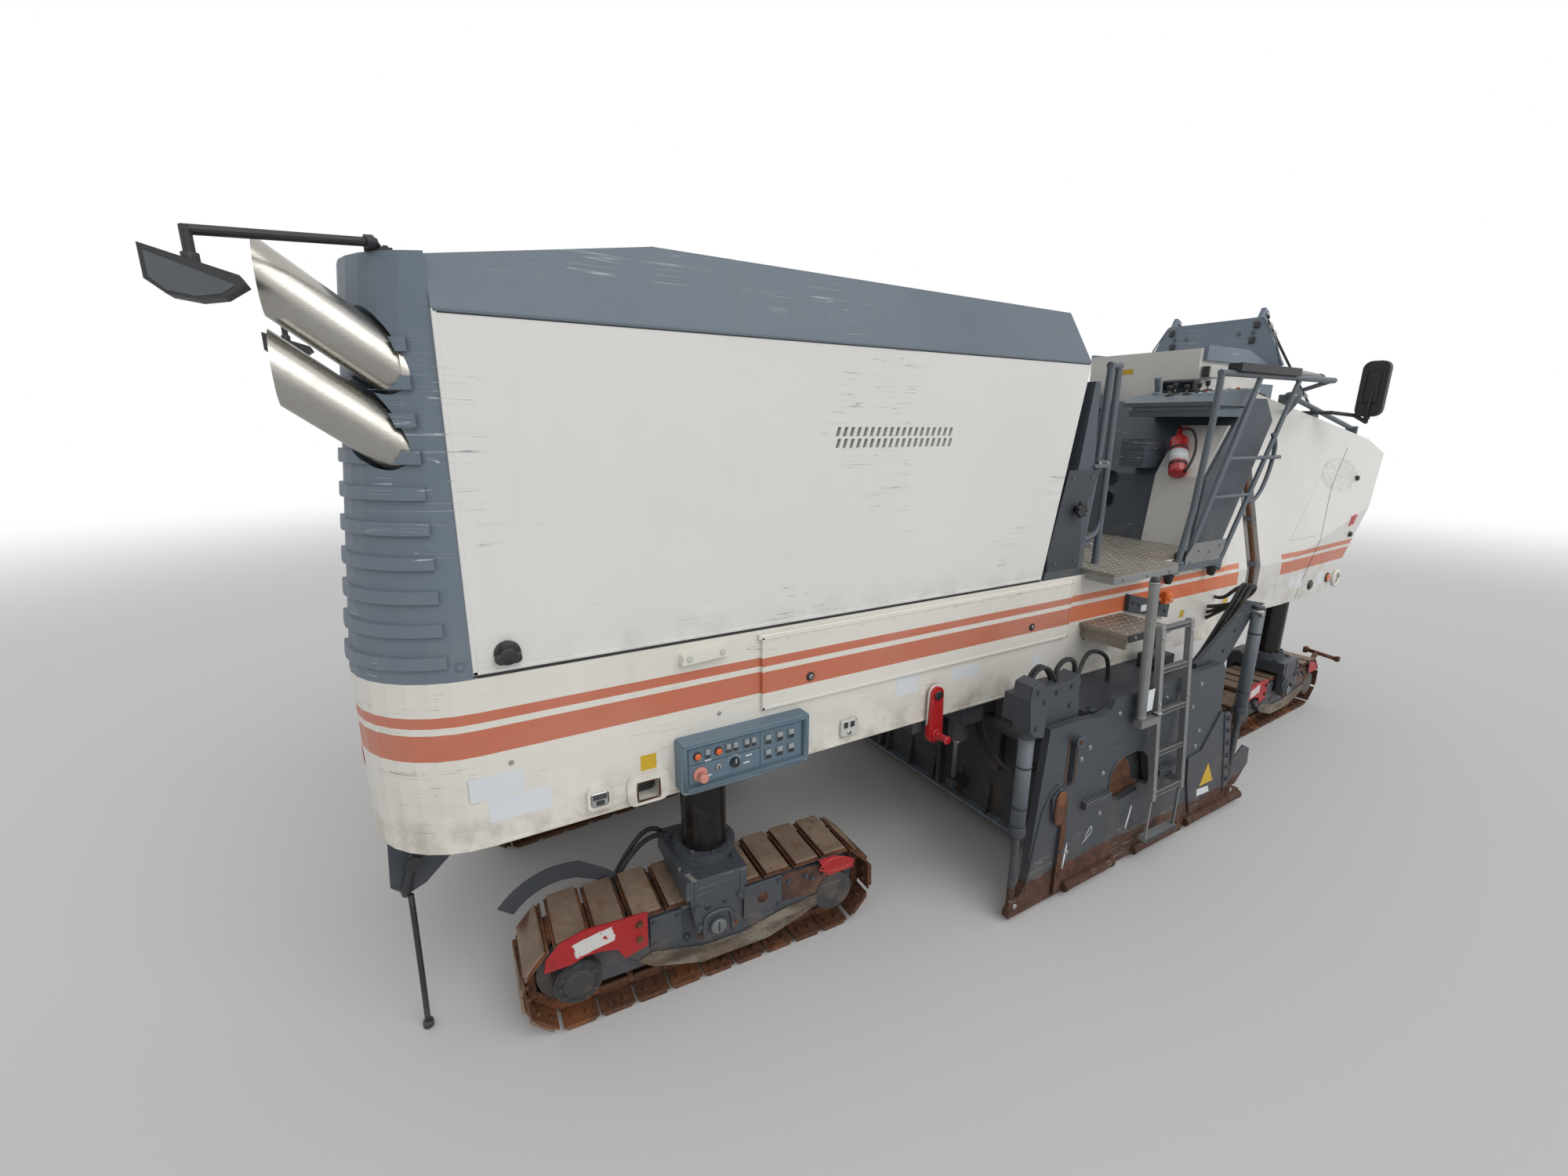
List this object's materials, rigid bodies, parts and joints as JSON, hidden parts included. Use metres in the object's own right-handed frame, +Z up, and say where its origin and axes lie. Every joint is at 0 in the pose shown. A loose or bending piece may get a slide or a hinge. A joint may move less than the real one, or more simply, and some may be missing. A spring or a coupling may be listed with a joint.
{
  "type": "cold planer milling machine",
  "caption": "Tracked cold planer with a milling drum between side plates, lifting columns, a tilting engine hood, an open operator platform and a front loading belt.",
  "frame": {"origin": "on the ground under the middle of the whole machine", "axes": "+X forward, +Y left, +Z up"},
  "size_m": [8.13, 2.8, 3.2631],
  "materials": {
    "white_paint": "gloss, scuffed",
    "slate_paint": "satin",
    "galvanised": "dull",
    "grey_plastic": "matt",
    "red_paint": "gloss",
    "dark_metal": "satin, oily",
    "black_plastic": "matt",
    "steel": "brushed",
    "engine_iron": "matt",
    "panel_blue": "satin",
    "belt_rubber": "matt",
    "hose_rubber": "satin",
    "amber_plastic": "gloss",
    "worn_steel": "rusty",
    "track_steel": "rusty"
  },
  "bodies": {
    "chassis": {"main_frame": "white_paint", "front_tanks": "white_paint", "front_cover": "white_paint", "front_wall": "slate_paint", "centre_box": "white_paint", "hoist_gantry": "slate_paint", "platform": "galvanised", "bulkhead": "slate_paint", "rails": "slate_paint", "consoles": "grey_plastic", "extinguisher": "red_paint", "corner_right": "slate_paint", "corner_left": "slate_paint", "rear_grille": "dark_metal", "exhaust": "steel", "engine": "engine_iron", "control_panel": "panel_blue", "lever": "red_paint", "tow_brackets": "slate_paint", "mirrors": "black_plastic", "lamps": "amber_plastic", "hoses": "hose_rubber", "drum_housing": "slate_paint", "conveyor_frame": "slate_paint", "conveyor_belt": "belt_rubber", "conveyor_hitch": "slate_paint"},
    "hood": {"hood_sides": "white_paint", "hood_roof": "slate_paint"},
    "service_door": {"tool_door": "white_paint"},
    "drum": {"drum": "worn_steel"},
    "side_plate_right": {"side_plate_right": "slate_paint", "ladder_right": "galvanised"},
    "side_plate_left": {"side_plate_left": "slate_paint", "ladder_left": "galvanised"},
    "scraper": {"scraper": "slate_paint"},
    "column_rear_right": {"column_rear_right": "dark_metal"},
    "track_rear_right": {"crawler_rear_right": "slate_paint", "track_rear_right": "track_steel"},
    "column_rear_left": {"column_rear_left": "dark_metal"},
    "track_rear_left": {"crawler_rear_left": "slate_paint", "track_rear_left": "track_steel"},
    "column_front_right": {"column_front_right": "dark_metal"},
    "track_front_right": {"crawler_front_right": "slate_paint", "track_front_right": "track_steel"},
    "column_front_left": {"column_front_left": "dark_metal"},
    "track_front_left": {"crawler_front_left": "slate_paint", "track_front_left": "track_steel"}
  },
  "joints": [
    {"name": "hood_hinge", "type": "hinge", "parent": "chassis", "child": "hood", "pos_m": [-3.4845, 0, 2.84], "axis": [0, -1, 0], "range_deg": [0, 50]},
    {"name": "service_door_hinge", "type": "hinge", "parent": "chassis", "child": "service_door", "pos_m": [-1.451, -0.8673, 1.546], "axis": [-1, 0, 0], "range_deg": [0, 90]},
    {"name": "drum_spin", "type": "hinge", "parent": "chassis", "child": "drum", "pos_m": [-0.185, 0, 0.49], "axis": [0, 1, 0], "continuous": true},
    {"name": "side_plate_right_lift", "type": "slide", "parent": "chassis", "child": "side_plate_right", "axis": [0, 0, 1], "range_m": [0, 0.225]},
    {"name": "side_plate_left_lift", "type": "slide", "parent": "chassis", "child": "side_plate_left", "axis": [0, 0, 1], "range_m": [0, 0.225]},
    {"name": "scraper_lift", "type": "slide", "parent": "chassis", "child": "scraper", "axis": [0, 0, 1], "range_m": [0, 0.07]},
    {"name": "lift_rear_right", "type": "slide", "parent": "chassis", "child": "column_rear_right", "axis": [0, 0, 1], "range_m": [-0.25, 0.22]},
    {"name": "steer_rear_right", "type": "hinge", "parent": "column_rear_right", "child": "track_rear_right", "pos_m": [-2.635, -0.71, 0.56], "axis": [0, 0, 1], "range_deg": [-20, 20]},
    {"name": "lift_rear_left", "type": "slide", "parent": "chassis", "child": "column_rear_left", "axis": [0, 0, 1], "range_m": [-0.25, 0.22]},
    {"name": "steer_rear_left", "type": "hinge", "parent": "column_rear_left", "child": "track_rear_left", "pos_m": [-2.635, 0.71, 0.56], "axis": [0, 0, 1], "range_deg": [-20, 20]},
    {"name": "lift_front_right", "type": "slide", "parent": "chassis", "child": "column_front_right", "axis": [0, 0, 1], "range_m": [-0.25, 0.22]},
    {"name": "steer_front_right", "type": "hinge", "parent": "column_front_right", "child": "track_front_right", "pos_m": [2.4, -0.71, 0.56], "axis": [0, 0, 1], "range_deg": [-20, 20]},
    {"name": "lift_front_left", "type": "slide", "parent": "chassis", "child": "column_front_left", "axis": [0, 0, 1], "range_m": [-0.25, 0.22]},
    {"name": "steer_front_left", "type": "hinge", "parent": "column_front_left", "child": "track_front_left", "pos_m": [2.4, 0.71, 0.56], "axis": [0, 0, 1], "range_deg": [-20, 20]}
  ]
}
